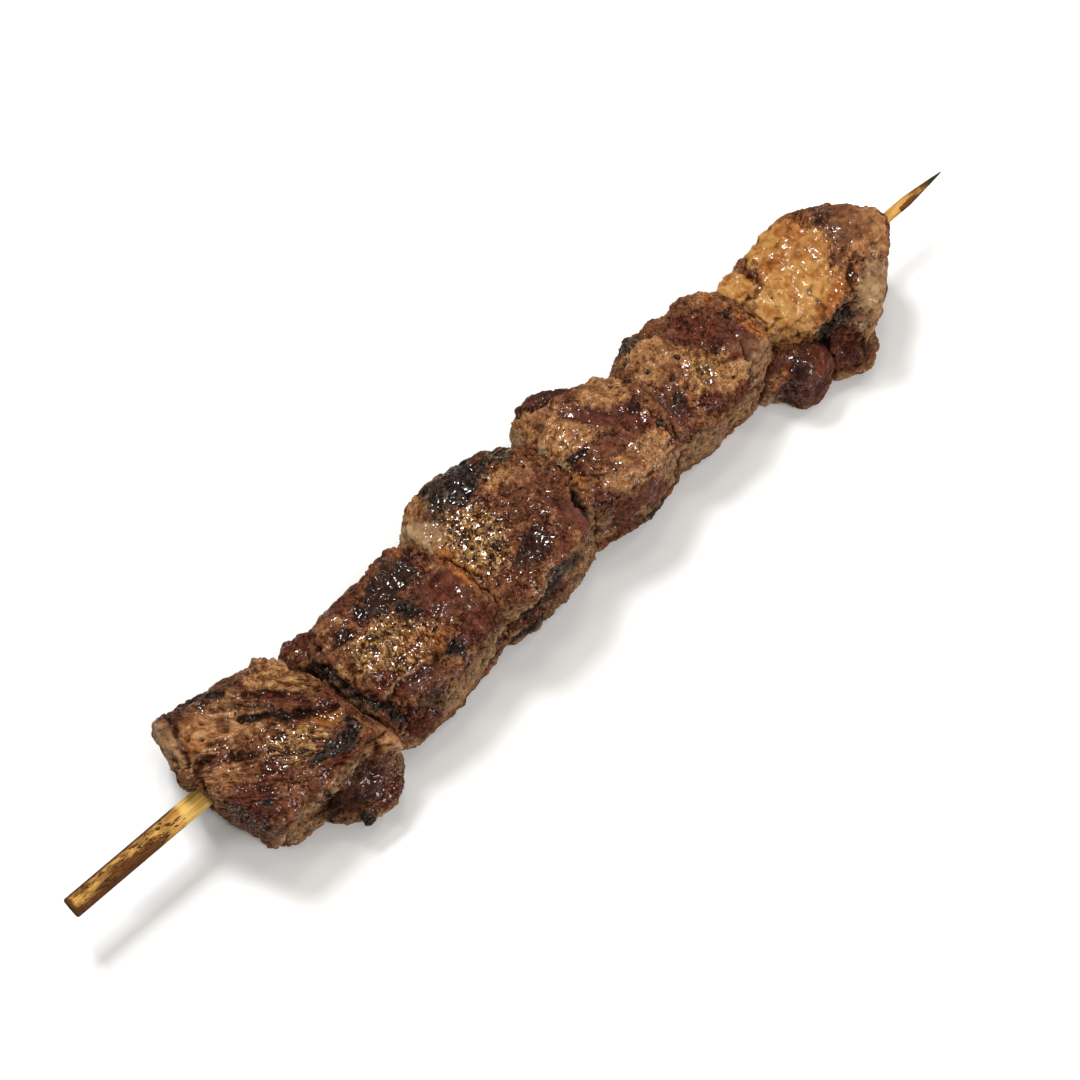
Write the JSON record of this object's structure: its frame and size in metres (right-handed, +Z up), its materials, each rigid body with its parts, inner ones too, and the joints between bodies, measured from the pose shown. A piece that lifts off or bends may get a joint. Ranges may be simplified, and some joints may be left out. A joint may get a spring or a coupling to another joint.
{
  "type": "lamb shish kebab",
  "caption": "Grilled lamb shish kebab: browned chunks of meat with char and golden fat, threaded on a round pointed wooden stick.",
  "frame": {"origin": "bottom centre of the whole kebab's box, on the surface that the meat lies on", "axes": "+X along the stick from its blunt end to its point, +Z up, +Y to the left of the stick"},
  "size_m": [0.25, 0.0468, 0.0292],
  "materials": {
    "browned_lamb": "grilled lamb, moist, browned and partly charred",
    "dark_lamb": "grilled lamb, dark red-brown and wet",
    "golden_fat": "lamb with a golden grilled fat cap, wet",
    "stick_wood": "bare bamboo, toasted in places"
  },
  "bodies": {
    "root": {"stick": "stick_wood", "chunk_1": "browned_lamb", "chunk_2": "browned_lamb", "chunk_3": "browned_lamb", "chunk_4": "browned_lamb", "chunk_5": "browned_lamb", "trimming": "dark_lamb", "chunk_6": "golden_fat"}
  },
  "joints": []
}
